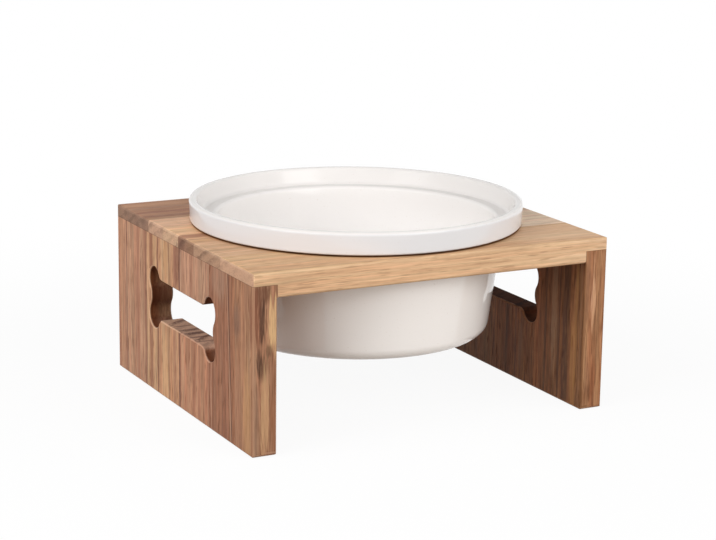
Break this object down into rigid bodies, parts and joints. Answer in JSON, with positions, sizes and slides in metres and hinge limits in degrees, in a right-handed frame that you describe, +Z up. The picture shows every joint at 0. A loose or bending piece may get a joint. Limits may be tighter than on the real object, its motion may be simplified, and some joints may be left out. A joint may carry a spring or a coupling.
{
  "type": "dog feeder stand",
  "caption": "Raised pet feeder: a low stand of edge-glued wood panels with bone-shaped grip holes, and a round glazed bowl that drops into the top board and lifts out.",
  "frame": {"origin": "on the floor below the middle of the stand", "axes": "+X along the stand's length from the left leg to the right leg, +Y from front to back, +Z up"},
  "size_m": [0.28, 0.248, 0.1454],
  "materials": {
    "top_wood": "oiled hardwood, satin, grain along the board",
    "leg_wood": "oiled hardwood, satin, upright grain",
    "dowel_wood": "plain birch dowel",
    "glaze": "glossy warm-white glaze"
  },
  "bodies": {
    "stand": {"top_back_stave": "top_wood", "top_front_stave": "top_wood", "top_stave_2_left": "top_wood", "top_stave_2_right": "top_wood", "top_stave_3_left": "top_wood", "top_stave_3_right": "top_wood", "top_stave_4_left": "top_wood", "top_stave_4_right": "top_wood", "top_stave_5_left": "top_wood", "top_stave_5_right": "top_wood", "left_leg_wide_stave": "leg_wood", "left_leg_grip_stave": "leg_wood", "left_leg_upper_stave": "leg_wood", "left_leg_lower_stave": "leg_wood", "left_leg_notched_stave": "leg_wood", "left_leg_narrow_stave": "leg_wood", "right_leg_wide_stave": "leg_wood", "right_leg_grip_stave": "leg_wood", "right_leg_upper_stave": "leg_wood", "right_leg_lower_stave": "leg_wood", "right_leg_notched_stave": "leg_wood", "right_leg_narrow_stave": "leg_wood", "left_dowels": "dowel_wood", "right_dowels": "dowel_wood"},
    "bowl": {"feeding_bowl": "glaze"}
  },
  "joints": [
    {"name": "bowl_lift", "type": "slide", "parent": "stand", "child": "bowl", "axis": [0, 0, 1], "range_m": [0, 0.1]}
  ]
}
